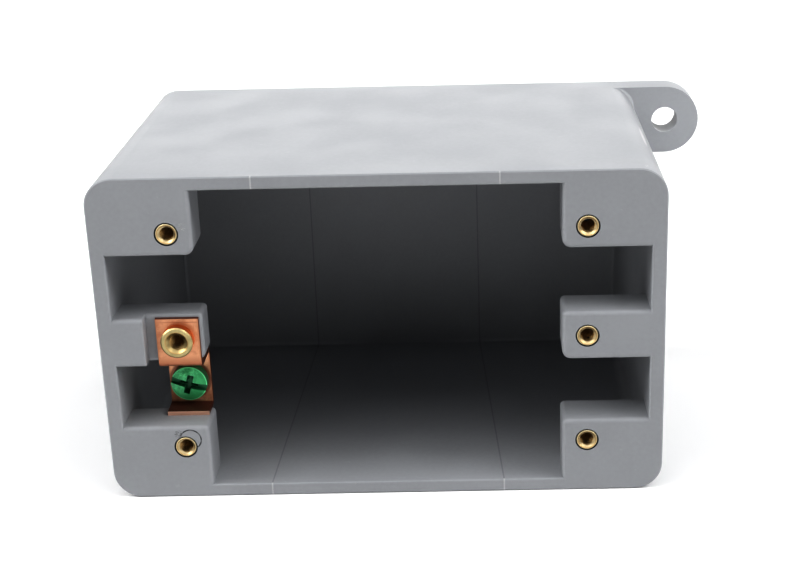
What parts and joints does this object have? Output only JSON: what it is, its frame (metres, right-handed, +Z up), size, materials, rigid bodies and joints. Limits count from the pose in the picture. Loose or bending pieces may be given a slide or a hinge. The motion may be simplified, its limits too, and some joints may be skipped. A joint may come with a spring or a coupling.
{
  "type": "device box",
  "caption": "Deep rectangular moulded box with an open mouth, brass inserts on shelves for device and cover screws, a copper bonding strap with its screw, and fixing lugs.",
  "frame": {"origin": "on the floor, under the middle of the whole part", "axes": "+Z up, +X along the box's length to the right as seen from its mouth, which faces -Y"},
  "size_m": [0.145, 0.074, 0.07],
  "materials": {
    "grey_plastic": "satin moulded",
    "brass": "turned",
    "copper": "rolled strip, copper colour",
    "green_finish": "green dyed plating"
  },
  "bodies": {
    "box": {"box_body": "grey_plastic", "insert_top_left": "brass", "insert_top_right": "brass", "insert_middle_right": "brass", "insert_bottom_left": "brass", "insert_bottom_right": "brass", "ground_insert": "brass", "ground_strap": "copper"},
    "screw": {"ground_screw": "green_finish"}
  },
  "joints": [
    {"name": "ground_screw_turn", "type": "hinge", "parent": "box", "child": "screw", "pos_m": [-0.04167, -0.0262, 0.0221], "axis": [0, -1, 0], "range_deg": [0, 990]}
  ]
}
